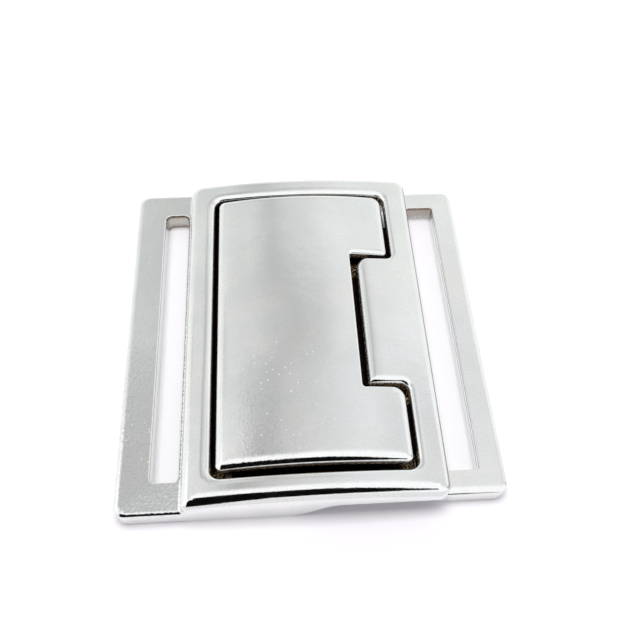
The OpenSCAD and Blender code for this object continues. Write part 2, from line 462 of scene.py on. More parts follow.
class Value:
    """A value in a node tree. Python's operators on it add Math nodes."""

    def __init__(self, graph, socket):
        self.graph = graph
        self.socket = socket

    def math(self, operation, *others):
        """Math node on this value and others."""
        inputs = dict(enumerate((self, *others)))
        return self.graph.node("ShaderNodeMath", {"operation": operation}, inputs)

    def __add__(self, other):
        return self.math("ADD", other)

    __radd__ = __add__

    def __sub__(self, other):
        return self.math("SUBTRACT", other)

    def __rsub__(self, other):
        return self.graph.node("ShaderNodeMath", {"operation": "SUBTRACT"}, {0: other, 1: self})

    def __mul__(self, other):
        return self.math("MULTIPLY", other)

    __rmul__ = __mul__

    def __truediv__(self, other):
        return self.math("DIVIDE", other)

    def smooth(self, low, high):
        """0 below low, 1 above high, and an even change between."""
        settings = {"interpolation_type": "SMOOTHSTEP"}
        return self.graph.node("ShaderNodeMapRange", settings, {0: self, 1: low, 2: high})

    def line(self, low, high):
        """0 below low, 1 above high, and a straight change between."""
        return self.graph.node("ShaderNodeMapRange", None, {0: self, 1: low, 2: high})


class Graph:
    """A node tree that starts empty."""

    def __init__(self, tree):
        self.tree = tree
        tree.nodes.clear()

    def node(self, kind, settings=None, inputs=None, output=0):
        """New node: its settings first, then the values or links of its sockets. Returns one output."""
        made = self.tree.nodes.new(kind)
        for key, value in (settings or {}).items():
            if key == "stops":
                self.set_stops(made.color_ramp, value)
            else:
                setattr(made, key, value)
        for key, value in (inputs or {}).items():
            if isinstance(value, Value):
                self.tree.links.new(value.socket, made.inputs[key])
            else:
                made.inputs[key].default_value = value
        return Value(self, made.outputs[output]) if made.outputs else None

    def set_stops(self, ramp, stops):
        """Stops of a colour ramp as (place, grey)."""
        while len(ramp.elements) < len(stops):
            ramp.elements.new(1.0)
        for element, (place, grey) in zip(ramp.elements, stops):
            element.position = place
            element.color = (grey, grey, grey, 1.0)

    def mix_colour(self, share, first, second):
        """Colour between two colours."""
        return self.node("ShaderNodeMix", {"data_type": "RGBA"}, {0: share, 6: first, 7: second}, output=2)

    def ramp(self, value, stops):
        """Grey from a ramp whose stops are (place, grey)."""
        return self.axes(self.node("ShaderNodeValToRGB", {"stops": stops}, {0: value}))[0]

    def axes(self, vector):
        """The three parts of a vector."""
        made = self.tree.nodes.new("ShaderNodeSeparateXYZ")
        self.tree.links.new(vector.socket, made.inputs[0])
        return [Value(self, made.outputs[i]) for i in range(3)]


def inside_box(x, y, low, high, soft):
    """1 within a rectangle, 0 outside, with a soft edge."""
    return (
        x.smooth(low[0] - soft, low[0])
        * (1 - x.smooth(high[0], high[0] + soft))
        * y.smooth(low[1] - soft, low[1])
        * (1 - y.smooth(high[1], high[1] + soft))
    )


def opaque(colour):
    """Colour with full opacity."""
    return (*colour, 1.0)


def new_material(name):
    """Empty material with its graph, and a point's place on its object."""
    material = bpy.data.materials.new(name)
    material.use_nodes = True
    graph = Graph(material.node_tree)
    return material, graph, graph.node("ShaderNodeTexCoord", output="Object")


def add_shader(graph, height, inputs):
    """Shader with these inputs, and a bump of this height in metres."""
    bump = graph.node("ShaderNodeBump", inputs={"Strength": 1.0, "Distance": 1.0, "Height": height})
    shader = graph.node("ShaderNodeBsdfPrincipled", inputs={**inputs, "Normal": bump})
    graph.node("ShaderNodeOutputMaterial", inputs={"Surface": shader})


def plating(name, look, dullness=0.0, recess=None, pitted=None, worn=None):
    """Bright plated metal: ripple, orange peel, grain, pits, smudges, and painted shade in its recesses.

    recess takes a point's axes in millimetres and a noise from 0 to 1, and says how dark the place is painted
    and how much of that is brown crust. The dark is painted shade, and on the slot ends partly dark oxide.
    pitted takes the axes and says how many of the pits show.
    worn takes the axes and a noise, and says how wrinkled and dull the plating is.
    """
    material, graph, place = new_material(name)
    x, y, z = [part * MM for part in graph.axes(place)]

    def noise(scale, detail, rough=0.5):
        """Noise with about this many features in a metre."""
        inputs = {"Vector": place, "Scale": scale, "Detail": detail, "Roughness": rough}
        return graph.node("ShaderNodeTexNoise", inputs=inputs)

    smudge = noise(170.0, 4.0)
    ripple = noise(420.0, 1.0)
    peel = noise(2100.0, 2.0)
    grain = noise(6500.0, 3.0)
    ragged = noise(3300.0, 3.0, 0.6)
    blotch = noise(130.0, 3.0, 0.6)
    hue = noise(75.0, 2.0).smooth(0.4, 0.6)

    # Each cell has a pit at its heart if its own draw is below the share
    cell = {"Vector": place, "Scale": 1100.0, "Randomness": 1.0}
    spot = graph.node("ShaderNodeTexVoronoi", {"feature": "F1"}, cell)
    lot = graph.node("ShaderNodeTexVoronoi", {"feature": "F1"}, cell, output="Color")
    share = 0.035 if pitted is None else 0.02 + pitted(x, y) * 0.4
    chosen = (share - graph.axes(lot)[0]).smooth(0.0, 0.01)
    pit = (1 - spot.smooth(0.05, 0.15)) * chosen

    wear = 0.0 if worn is None else worn(x, y, blotch)
    handled = (smudge.smooth(0.35, 0.65) + wear * 0.5).math("MINIMUM", 1.4)
    metal = graph.mix_colour(hue, opaque(look.metal), opaque(look.cool_metal))
    clean = graph.mix_colour(handled, metal, opaque(look.smudged))
    flecked = ragged.smooth(0.45, 0.7) * (0.4 + wear * 0.25) + peel.smooth(0.55, 0.66) * (wear * 1.4)
    colour = graph.mix_colour(flecked, clean, opaque(look.mottle))
    roughness = look.roughness + dullness * 0.4 + smudge.smooth(0.3, 0.7) * 0.05 + pit * 0.2
    metallic = 1.0
    # In the recesses the colour turns near-black as painted shade, partly dark oxide in the slots, with brown
    # crust in places
    if recess is not None:
        hidden, crusted = recess(x, y, z, ragged)
        recess_colour = graph.mix_colour(crusted, opaque(look.film_and_shade), opaque(look.crust))
        colour = graph.mix_colour(hidden, colour, recess_colour)
        roughness = roughness + hidden * 0.4
        metallic = 1 - hidden * crusted
    coarser = 1 + 6 * dullness
    height = (
        ripple * look.ripple_depth
        + peel * ((coarser + wear * 5.0) * look.peel_depth)
        + grain * (look.grain_depth * coarser)
        - pit * look.pit_depth
    )
    add_shader(graph, height, {"Base Color": colour, "Metallic": metallic, "Roughness": roughness})
    return material


def window_recess(arch, low, high, dark_hairline=None):
    """Painted shade below an arch and inside the window, down to its floor, with crust at its border and its
    corners.

    dark_hairline is where along X a painted shadow line runs from front to back, where the frame meets the
    tongue.
    """

    def mask(x, y, z, ragged):
        """Painted shade and crust at a point."""
        across = x - arch.middle
        down = arch.crown - across * across / (2 * arch.radius) - z
        # Painted shade: the walls turn dark deeper than about a millimetre below the arch, with darker flecks
        # at its ragged edge
        film_and_shade = (down + ragged * 0.8).smooth(1.05, 1.45)
        flecks = (down + ragged * 0.9).smooth(0.92, 1.1) * 0.6
        above_floor = z.smooth(FLOOR_T - 0.1, FLOOR_T)
        hidden = film_and_shade.math("MAXIMUM", flecks) * inside_box(x, y, low, high, 0.3) * above_floor
        patches = sum(inside_box(x, y, near, far, 0.6) * thick for near, far, thick in CRUSTED)
        border = 1 - down.smooth(1.1, 2.0)
        # A strip of painted shadow along the frame's right edge, where it meets the tongue
        if dark_hairline is not None:
            hidden = hidden + x.smooth(dark_hairline - 0.3, dark_hairline - 0.14) * 0.7
        return hidden, ragged.smooth(0.45, 0.6) * (border * 0.35 + patches + 0.03)

    return mask


def slot_recess(slot, top, shades, dotted=0.0, dark_hairline=0.0):
    """Darkening on the back end of a strap slot: how much under the rim, at mid height and at the foot.

    dotted is how much of it lies in dots along the slot's right rim and, as painted shade, evenly on the wall
    below it, and dark_hairline how much in a dark hairline on the slot's right wall. At mid height the end is
    dark oxide, and at its foot painted contact shadow.
    """
    rim, middle, foot = shades

    def mask(x, y, z, ragged):
        """Darkening and crust at a point."""
        down = top - z
        (x0, y0), (x1, y1) = slot.low, slot.high
        end = inside_box(x, y, (x0 - 0.1, y1 - 0.8), (x1 + 0.1, y1 + 0.1), 0.1)
        # Darkest just under the rim, dark oxide at mid height, and painted contact shadow at the foot
        shade = (
            down.smooth(0.02, 0.12) * rim
            + down.smooth(0.3, 0.9) * (middle - rim)
            + down.smooth(top * 0.6, top) * (foot - middle)
        )
        beads = ragged * 0.8 + (y * 8.2).math("SINE") * 0.05 - 0.05
        # Below the rim the hidden wall is darkened evenly as painted shade, which also dims the slot floor
        # beside it
        below_rim = down.smooth(0.3, 0.6)
        spread = (1 - below_rim) * beads.smooth(0.32, 0.38) + below_rim * (0.7 + 0.6 * ragged)
        dots = inside_box(x, y, (x1 - 0.05, y0), (x1 + 0.25, y1), 0.1) * spread
        line = inside_box(x, down, (x1 - 0.05, 0.75), (x1 + 0.05, 1.15), 0.1) * y.smooth(y0, y0 + 1)
        film_and_shade = end * shade * (0.8 + 0.4 * ragged) + dots * dotted + line * dark_hairline
        return film_and_shade, end * ragged.smooth(0.35, 0.6) * 0.8

    return mask


def rounding_setting(label, width, height, most=0.0025):
    """Setting for the rounding along an edge: its width and its height in metres."""
    return bpy.props.FloatVectorProperty(
        name=label, description=f"Width and height of the rounding along the {label.lower()}",
        default=(width, height), size=2, min=0.0001, max=most, unit="LENGTH", precision=5)


def length_setting(label, description, default, most, least=0.0001, precision=5):
    """Setting for a length in metres."""
    return bpy.props.FloatProperty(
        name=label, description=description, default=default, min=least, max=most,
        unit="LENGTH", precision=precision)


def colour_setting(label, description, default):
    """Setting for a colour."""
    return bpy.props.FloatVectorProperty(
        name=label, description=description, default=default, min=0.0, max=1.0, subtype="COLOR")


class EdgeSettings(bpy.types.PropertyGroup):
    """Sizes of the castings' rounded edges."""

    frame_front: rounding_setting("Frame's front edge", 0.0025, 0.00165)
    frame_back: rounding_setting("Frame's back edge", 0.0011, 0.00075)
    frame_left: rounding_setting("Frame's left edge", 0.0012, 0.0007)
    frame_right: rounding_setting("Frame's right edge", 0.001, 0.0006)
    window_left: rounding_setting("Window's left edge", 0.0016, 0.0009)
    window_front: rounding_setting("Window's front edge", 0.0011, 0.00045)
    window_back: rounding_setting("Window's back edge", 0.0017, 0.0008)
    window_right: rounding_setting("Window's right edge", 0.0012, 0.00075)
    tab_edge: rounding_setting("Tab's tip and front edge", 0.0015, 0.00075)
    tab_tip: rounding_setting("Tab's tip, where it rolls off wide", 0.0028, 0.00045, most=0.003)
    plate_front: rounding_setting("Press plate's front edge", 0.0024, 0.00145)
    plate_left: rounding_setting("Press plate's left edge", 0.0013, 0.0007)
    plate_side: rounding_setting("Press plate's back and right edges", 0.00095, 0.00055)
    notch_edge: rounding_setting("Notch's back edge", 0.0012, 0.00055)
    strap_edge: rounding_setting("Strap plates' edges", 0.0009, 0.00055)
    right_front: rounding_setting("Right strap plate's front edge", 0.0018, 0.00072)
    crisp: length_setting("Crisp edge", "Radius of the edges that are only just broken", 0.0003, 0.0005)
    frame_foot: length_setting("Frame foot", "Radius of the frame's lower edges", 0.00018, 0.0005)
    strap_foot: length_setting("Strap plate foot", "Radius of the strap plates' lower edges", 0.00045, 0.0008)
    fillet: length_setting("Fillet", "Radius where the left strap plate meets the frame", 0.0006, 0.001)
    cut_step: length_setting("Face size", "Spacing of the cuts beside rounded edges", 0.0002, 0.001)


class PlatingSettings(bpy.types.PropertyGroup):
    """Colours and finish of the plated metal."""

    metal: colour_setting("Metal", "Colour of the clean plating", (0.89, 0.885, 0.87))
    cool_metal: colour_setting("Cool metal", "Bluer colour of the clean plating", (0.865, 0.88, 0.89))
    smudged: colour_setting("Smudged metal", "Colour of the plating where it was handled", (0.84, 0.85, 0.85))
    mottle: colour_setting("Mottle", "Colour of the duller flecks in the plating", (0.74, 0.75, 0.755))
    # Near-black colour painted into the recesses as shade, which is also the dark oxide of the slot ends and
    # the stains on the hinge pin
    film_and_shade: colour_setting("Film", "Colour of the dark film in the recesses", (0.02, 0.012, 0.01))
    crust: colour_setting("Crust", "Colour of the film's lighter, brown flecks", (0.46, 0.33, 0.18))
    steel: colour_setting("Steel", "Colour of the hinge pin", (0.16, 0.13, 0.11))
    roughness: bpy.props.FloatProperty(
        name="Roughness", description="Roughness of the clean plating",
        default=0.07, min=0.0, max=1.0, subtype="FACTOR")
    ripple_depth: length_setting(
        "Ripple depth", "Height of the slow ripple in the plating", 0.000016, 0.0001, least=0.0, precision=7)
    peel_depth: length_setting(
        "Orange peel depth", "Height of the orange peel in the plating", 0.0000055, 0.0001,
        least=0.0, precision=7)
    grain_depth: length_setting(
        "Grain depth", "Height of the fine grain in the plating", 0.0000004, 0.00001, least=0.0, precision=8)
    pit_depth: length_setting(
        "Pit depth", "Depth of the casting's pits", 0.000028, 0.0001, least=0.0, precision=7)


class StageSettings(bpy.types.PropertyGroup):
    """Floor and light."""

    floor: colour_setting("Floor", "Colour of the floor", (0.95, 0.945, 0.958))
    softbox_power: bpy.props.FloatProperty(
        name="Softbox power", description="Power of the soft light overhead",
        default=2.3, min=0.0, max=10.0, unit="POWER")
    world_strength: bpy.props.FloatProperty(
        name="Surroundings", description="Strength of the light from all round",
        default=1.0, min=0.0, max=5.0, subtype="FACTOR")


class BUCKLE_OT_frame(bpy.types.Operator):
    """Build the arched frame with its window, tab and floor"""

    bl_idname = "buckle.frame"
    bl_label = "Arched frame"

    def execute(self, context):
        edges = context.scene.buckle_edges
        looks = context.scene.buckle_plating
        crisp = sides((edges.crisp, edges.crisp))
        tab = sides(edges.tab_edge)
        surface = Surface(FRAME_ARCH, [
            Rim(FRAME_OUTLINE.depth, sides(edges.frame_front), sides(edges.frame_back),
                sides(edges.frame_left), sides(edges.frame_right)),
            Rim(window_depth, sides(edges.window_back), sides(edges.window_front),
                sides(edges.window_right), sides(edges.window_left),
                near={"front": tab, "back": crisp, "left": tab}),
            Rim(tip_depth, *[sides(edges.tab_tip)] * 4),
        ])
        bm = bmesh.new()
        outer = FRAME_OUTLINE.corners()
        window = WINDOW.corners()
        tab_front, _, _, tab_back = TAB.corners()
        # The outline is drawn in two halves, which meet at the middle of the front and of the back bar
        front, back = (0.0, FRAME_OUTLINE.low[1], 0.0), (0.0, FRAME_OUTLINE.high[1], 0.0)
        window_front, window_back = (0.0, WINDOW.low[1], 0.0), (0.0, WINDOW.high[1], 0.0)
        add_outline(bm, [front, window_front, window[0], window[3], window_back, back, outer[3], outer[0]])
        add_outline(bm, [
            front, outer[1], outer[2], back, window_back, window[2],
            (WINDOW.high[0], tab_back[1], TAB_ROOT_BACK), tab_back, tab_front,
            (WINDOW.high[0], tab_front[1], TAB_ROOT_FRONT), window[1], window_front,
        ])
        raise_block(bm, BLOCK_H)
        round_edges(bm, BLOCK_H, edges.crisp * MM, segments=5)
        round_edges(bm, 0.0, edges.frame_foot * MM, segments=3)
        mark_shading(bm)
        cut_finely(bm, FRAME_OUTLINE, edges.cut_step * MM, [
            (FRAME_X0, 1.3), (WINDOW.low[0], -1.7), (TAB.low[0], 2.8), (WINDOW.high[0], 1.3),
            (FRAME_HIGH.x, -1.2),
        ], [
            (FRAME_LOW.y, 2.4), (WINDOW.low[1], -1.7), (TAB.low[1], 1.7), (TAB.high[1], -0.6),
            (WINDOW.high[1], 1.8), (FRAME_HIGH.y, -1.3),
        ])
        shape_block(bm, surface, lambda x, z: lower_edge(x) + z)
        add_floor(bm)
        bmesh.ops.recalc_face_normals(bm, faces=bm.faces)
        # Painted shade in the window and a painted shadow line down the right edge, with crust in places
        shade_and_crust = window_recess(FRAME_ARCH, WINDOW.low, WINDOW.high, dark_hairline=FRAME_HIGH.x)
        finish = plating("frame_plating", looks, recess=shade_and_crust)
        finish_piece("arched_frame", bm, surface, "buckle", "frame", finish)
        return {"FINISHED"}


def lower_edge(x):
    """Height of the frame's lower edge: on the floor at the left, over the tongue at the right."""
    share = min(max((x - RISE_X0) / RISE_L, 0.0), 1.0)
    return BRIDGE * (1 - math.cos(math.pi * share)) / 2


def add_floor(bm):
    """Floor under the window, with two holes that the catch legs sink into."""
    kind = bm.faces.layers.int["shading"]
    hole_x = (8.4, 12.1)
    hole_y = (20.0, 23.25)
    slab = set(add_box(bm, (*WINDOW.low, 0), (FLOOR_X1, WINDOW.high[1], FLOOR_T)))
    for axis, places in ((0, hole_x), (1, hole_y), (1, [-place for place in hole_y])):
        for place in places:
            normal = Vector((0, 0, 0))
            normal[axis] = 1
            parts = slab | {edge for face in slab for edge in face.edges}
            parts |= {vert for face in slab for vert in face.verts}
            made = bmesh.ops.bisect_plane(
                bm, geom=list(parts), dist=1e-4, plane_co=normal * place, plane_no=normal)
            slab |= {part for part in made["geom"] if isinstance(part, bmesh.types.BMFace)}
    bm.normal_update()
    for side in (-1, 1):
        cover = []
        for face in slab:
            middle = face.calc_center_median()
            within_x = hole_x[0] < middle.x < hole_x[1]
            within_y = hole_y[0] < side * middle.y < hole_y[1]
            if within_x and within_y and abs(face.normal.z) > LEVEL_RISE:
                cover.append(face)
        rims = list({edge for face in cover for edge in face.edges})
        bmesh.ops.delete(bm, geom=cover, context="FACES_ONLY")
        slab -= set(cover)
        slab |= set(bmesh.ops.bridge_loops(bm, edges=rims)["faces"])
    for face in slab:
        face[kind] = FLAT


class FlatTop:
    """Top at one height."""

    def __init__(self, height):
        self.level = height

    def height(self, x):
        """Height at a place along X."""
        return self.level

    def grade(self, x):
        """Slope at a place along X."""
        return 0.0


def strap_plate(outline, corners, slot, thickness, front, edges, fillets=()):
    """Flat plate with a slot, and with a front edge of its own: its block, and the surface that shades it."""
    crisp = sides((edges.crisp, edges.crisp))
    other = sides(edges.strap_edge)
    surface = Surface(FlatTop(thickness), [
        Rim(outline.depth, front, other, other, other),
        Rim(lambda x, y: -slot.depth(x, y), crisp, crisp, crisp, crisp),
        *fillets,
    ])
    bm = bmesh.new()
    # The outline is drawn in two halves, which meet at the middle of the left and of the right bar
    hole = slot.corners()
    left = (corners[0][0], 0.0, 0.0)
    right = ((corners[1][0] + corners[2][0]) / 2, 0.0, 0.0)
    slot_left, slot_right = (slot.low[0], 0.0, 0.0), (slot.high[0], 0.0, 0.0)
    add_outline(bm, [left, corners[0], corners[1], right, slot_right, hole[1], hole[0], slot_left])
    add_outline(bm, [left, slot_left, hole[3], hole[2], slot_right, right, corners[2], corners[3]])
    raise_block(bm, BLOCK_H)
    round_edges(bm, BLOCK_H, edges.crisp * MM, segments=5)
    round_edges(bm, 0.0, edges.strap_foot * MM, segments=4, spared=slot)
    mark_shading(bm)
    (x0, y0), (x1, y1) = outline.low, outline.high
    margin = 0.1
    reach = max(front[0], other[0]) + margin
    lip = edges.crisp * MM + margin
    cut_finely(
        bm, outline, edges.cut_step * MM / 2,
        [(x0, reach), (x1, -reach), (slot.low[0], -lip), (slot.high[0], 1.0)],
        [(y0, reach), (y1, -reach), (slot.low[1], -lip), (slot.high[1], lip)])
    shape_block(bm, surface)
    return bm, surface


class BUCKLE_OT_left_plate(bpy.types.Operator):
    """Build the left strap plate, which is cast in one with the frame"""

    bl_idname = "buckle.left_plate"
    bl_label = "Left strap plate"

    def execute(self, context):
        edges = context.scene.buckle_edges
        looks = context.scene.buckle_plating
        # The plate's end lies inside the frame's left bar, under the frame's rounded corners
        low, high = (FRAME_LOW.x, FRAME_LOW.y), (FRAME_X0 + FAR, FRAME_HIGH.y)
        outline = Outline(low, high, (CORNER, 0.0, 0.0, CORNER))
        corners = outline.corners()
        corners[1] = (FRAME_X0 + FRAME_OUTLINE.radii[0], FRAME_LOW.y, 0.0)
        corners[2] = (FRAME_X0 + FRAME_OUTLINE.radii[3], FRAME_HIGH.y, 0.0)
        hollow = sides((edges.fillet, -edges.fillet))
        fillet = Rim(lambda x, y: -FRAME_OUTLINE.depth(x, y), hollow, hollow, hollow, hollow)
        front = sides(edges.strap_edge, cut=0.14, lip=0.12)
        bm, surface = strap_plate(outline, corners, LEFT_SLOT, LEFT_PLATE_T, front, edges, fillets=[fillet])
        # The slot's back end: dark oxide, painted contact shadow at its foot, and painted shade on the hidden
        # right wall
        shade_and_crust = slot_recess(LEFT_SLOT, LEFT_PLATE_T, shades=(0.95, 0.42, 0.8), dotted=0.5)
        finish = plating(
            "left_plate_plating", looks, dullness=0.1, recess=shade_and_crust,
            pitted=lambda x, y: 1 - y.smooth(-18.0, 2.0),
            worn=lambda x, y, blotch: (1 - y.smooth(-20.0, 4.0)) * (0.35 + blotch.smooth(0.4, 0.6)))
        finish_piece("left_strap_plate", bm, surface, "buckle", "frame", finish)
        return {"FINISHED"}


class BUCKLE_OT_tongue(bpy.types.Operator):
    """Build the tongue: the right strap plate and the neck inside the frame"""

    bl_idname = "buckle.tongue"
    bl_label = "Tongue"

    def execute(self, context):
        edges = context.scene.buckle_edges
        looks = context.scene.buckle_plating
        low, high = (RIGHT_PLATE_X0, TONGUE_LOW.y), (TONGUE_HIGH.x, TONGUE_HIGH.y)
        outline = Outline(low, high, (1.0, CORNER, CORNER, 1.0))
        front = sides(edges.right_front, cut=0.38, lip=0.15)
        bm, surface = strap_plate(outline, outline.corners(), RIGHT_SLOT, TONGUE_HIGH.z, front, edges)
        add_neck(bm)
        bmesh.ops.recalc_face_normals(bm, faces=bm.faces)
        # The neck inside the frame is painted dark as shade, and the slot's back end as dark oxide with
        # painted contact shadow
        neck = window_recess(FRAME_ARCH, (FRAME_X0, WINDOW.low[1]), (RIGHT_PLATE_X0, WINDOW.high[1]))
        slot = slot_recess(RIGHT_SLOT, TONGUE_HIGH.z, shades=(0.9, 0.6, 0.25), dark_hairline=0.5)

        def both(*point):
            """Painted shade, dark oxide and crust of the neck and of the slot together."""
            return [first + second for first, second in zip(neck(*point), slot(*point))]

        finish = plating("tongue_plating", looks, recess=both)
        finish_piece("tongue_casting", bm, surface, "buckle", "tongue", finish)
        return {"FINISHED"}


def add_neck(bm):
    """Neck of the tongue, with a notch on each side for the catch legs."""
    low, high = 1.6, 2.9
    half_w = 21.6
    notch_x = (8.65, 11.85)
    notch_y = 20.25
    inner_r = 0.2
    broken = 0.15
    side = [
        (notch_x[0], half_w, inner_r), (notch_x[0], notch_y, inner_r),
        (notch_x[1], notch_y, inner_r), (notch_x[1], half_w, inner_r),
        (RIGHT_PLATE_X0 + 0.5, half_w, 0.0),
    ]
    front = [(x, -y, radius) for x, y, radius in side]
    tip = TONGUE_LOW.x
    outline = [(tip, -half_w, CORNER), *front, *reversed(side), (tip, half_w, CORNER)]
    add_prism(bm, outline, high - low, broken, Matrix.Translation((0, 0, low)))


class BUCKLE_OT_press_plate(bpy.types.Operator):
    """Build the press plate with its hinge barrel and catch legs"""

    bl_idname = "buckle.press_plate"
    bl_label = "Press plate"

    def execute(self, context):
        edges = context.scene.buckle_edges
        looks = context.scene.buckle_plating
        crisp = sides((edges.crisp, edges.crisp))
        side = sides(edges.plate_side)
        front = sides(edges.plate_front, cut=0.55, lip=0.15)
        notch = {"front": sides(edges.notch_edge), "back": crisp, "right": crisp}
        surface = Surface(PLATE_ARCH, [
            Rim(plate_depth, front, side, sides(edges.plate_left), side, near=notch),
        ])
        bm = bmesh.new()
        corners = PLATE.corners()
        notch_front, _, _, notch_back = NOTCH.corners()
        add_outline(bm, [
            corners[0], corners[1],
            (PLATE.high[0], notch_front[1], LOBE_FRONT), notch_front, notch_back,
            (PLATE.high[0], notch_back[1], LOBE_BACK), corners[2], corners[3],
        ])
        raise_block(bm, BLOCK_H)
        round_edges(bm, BLOCK_H, edges.crisp * MM, segments=6)
        mark_shading(bm)
        cut_finely(
            bm, PLATE, edges.cut_step * MM,
            [(PLATE.low[0], 1.2), (NOTCH.low[0], -0.5), (PLATE.high[0], -1.2)],
            [(PLATE.low[1], 2.2), (NOTCH.low[1], -0.5), (NOTCH.high[1], 1.4), (PLATE.high[1], -1.2)])
        underside = Arch(PLATE_LOW.x, PLATE_HIGH.x, PLATE_END - PLATE_T, PLATE_HIGH.z - PLATE_T)
        shape_block(bm, surface, lambda x, z: underside.height(x))
        add_hinge_and_catch(bm)
        bmesh.ops.recalc_face_normals(bm, faces=bm.faces)
        # The press plate's walls below its top are painted dark as shade, with crust in places
        finish = plating(
            "press_plate_plating", looks, recess=window_recess(PLATE_ARCH, PLATE.low, PLATE.high),
            pitted=lambda x, y: inside_box(x, y, (-8.0, -22.0), (2.5, -8.0), 3.0),
            worn=lambda x, y, blotch: inside_box(x, y, (-10.0, -26.0), (-5.0, -14.0), 2.5) * 0.35)
        finish_piece("press_plate_panel", bm, surface, "press_plate", "press_plate", finish)
        return {"FINISHED"}


def add_hinge_and_catch(bm):
    """Barrel on the pin under the left edge, and the two legs that hook the tongue's neck."""
    broken = 0.1
    barrel_r = 1.5
    end_gap = 0.6
    pin_x = (PIN_LOW.x + PIN_HIGH.x) / 2
    pin_z = (PIN_LOW.z + PIN_HIGH.z) / 2
    x0, x1 = pin_x - barrel_r, pin_x + barrel_r
    y0, y1 = PLATE_LOW.y + end_gap, PLATE_HIGH.y - end_gap
    # The barrel's and the legs' tops lie inside the panel, this far below the height of its ends
    barrel_inset, leg_inset = 0.9, 0.2
    low, high = pin_z - barrel_r, PLATE_END - barrel_inset
    # The barrel's outline is drawn as (x, z) and raised along Y. Its two bends just don't meet
    bend = barrel_r - 0.02
    barrel = [(x0, low, bend), (x1, low, bend), (x1, high, 0.0), (x0, high, 0.0)]
    along_y = Matrix.Translation((0, y1, 0)) @ Matrix.Rotation(math.pi / 2, 4, "X")
    add_prism(bm, barrel, y1 - y0, broken, along_y)
    catch_x = (9.0, 11.5)
    foot = PLATE_LOW.z
    root = PLATE_END - leg_inset
    hook_top = foot + 1.0
    leg = (21.95, 22.75)
    hook_tip = 20.6
    # Each leg's outline is drawn as (y, z) and raised along X
    profile = [
        (hook_tip, foot), (leg[1], foot), (leg[1], root),
        (leg[0], root), (leg[0], hook_top), (hook_tip, hook_top),
    ]
    corner_r = 2 * broken
    along_x = Matrix(((0, 0, 1, catch_x[0]), (1, 0, 0, 0), (0, 1, 0, 0), (0, 0, 0, 1)))
    for side in (-1, 1):
        outline = [(side * y, z, corner_r) for y, z in profile]
        add_prism(bm, outline, catch_x[1] - catch_x[0], broken, along_x)


class BUCKLE_OT_hinge_pin(bpy.types.Operator):
    """Give the hinge pin its drawn steel finish"""

    bl_idname = "buckle.hinge_pin"
    bl_label = "Hinge pin"

    def execute(self, context):
        looks = context.scene.buckle_plating
        material, graph, place = new_material("drawn_steel")
        drawn = graph.node("ShaderNodeMapping", inputs={"Vector": place, "Scale": (1.0, 0.03, 1.0)})
        lines = graph.node("ShaderNodeTexNoise", inputs={"Vector": drawn, "Scale": 9000.0, "Detail": 4.0})
        stain = graph.node("ShaderNodeTexNoise", inputs={"Vector": place, "Scale": 700.0, "Detail": 3.0})
        colour = graph.mix_colour(stain.smooth(0.3, 0.6), opaque(looks.steel), opaque(looks.film_and_shade))
        line_depth = 0.000002
        add_shader(graph, lines * line_depth, {
            "Base Color": colour, "Metallic": 1.0, "Roughness": 0.25 + stain * 0.2})
        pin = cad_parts["hinge_pin"]
        pin.data.materials.clear()
        pin.data.materials.append(material)
        return {"FINISHED"}


def plain_material(name, colour, roughness, gloss=0.2):
    """Matt material of one colour for the stage, with a faint tooth."""
    material, graph, place = new_material(name)
    tooth = graph.node("ShaderNodeTexNoise", inputs={"Vector": place, "Scale": 900.0, "Detail": 4.0})
    tooth_depth = 0.00001
    add_shader(graph, tooth * tooth_depth, {
        "Base Color": opaque(colour), "Roughness": roughness, "Specular IOR Level": gloss})
    return material


def add_card(name, corners, material):
    """Flat stage piece through these corners in millimetres."""
    bm = bmesh.new()
    bm.faces.new([bm.verts.new(Vector(corner) / MM) for corner in corners])
    mesh = bpy.data.meshes.new(name)
    bm.to_mesh(mesh)
    bm.free()
    card = bpy.data.objects.new(name, mesh)
    bpy.context.scene.collection.objects.link(card)
    mesh.materials.append(material)
    return card


def add_camera():
    """Camera at the photograph's place, with its roll."""
    spot = Vector((-3.457, -66.008, 109.381)) / MM
    yaw, pitch, roll = math.radians(-5.307), math.radians(57.351), math.radians(2.202)
    focal_px, frame_px, sensor = 750.0, 640.0, 36.0
    ahead = Vector((-math.sin(yaw) * math.cos(pitch), math.cos(yaw) * math.cos(pitch), -math.sin(pitch)))
    level = Vector((math.cos(yaw), math.sin(yaw), 0.0))
    upward = level.cross(ahead)
    right = math.cos(roll) * level + math.sin(roll) * upward
    up = math.cos(roll) * upward - math.sin(roll) * level
    data = bpy.data.cameras.new("camera")
    data.sensor_width = sensor
    data.lens = sensor * focal_px / frame_px
    data.clip_start = 0.001
    data.clip_end = 20.0
    camera = bpy.data.objects.new("camera", data)
    turn = Matrix((right, up, -ahead)).transposed().to_4x4()
    camera.matrix_world = Matrix.Translation(spot) @ turn
    bpy.context.scene.collection.objects.link(camera)
    bpy.context.scene.camera = camera


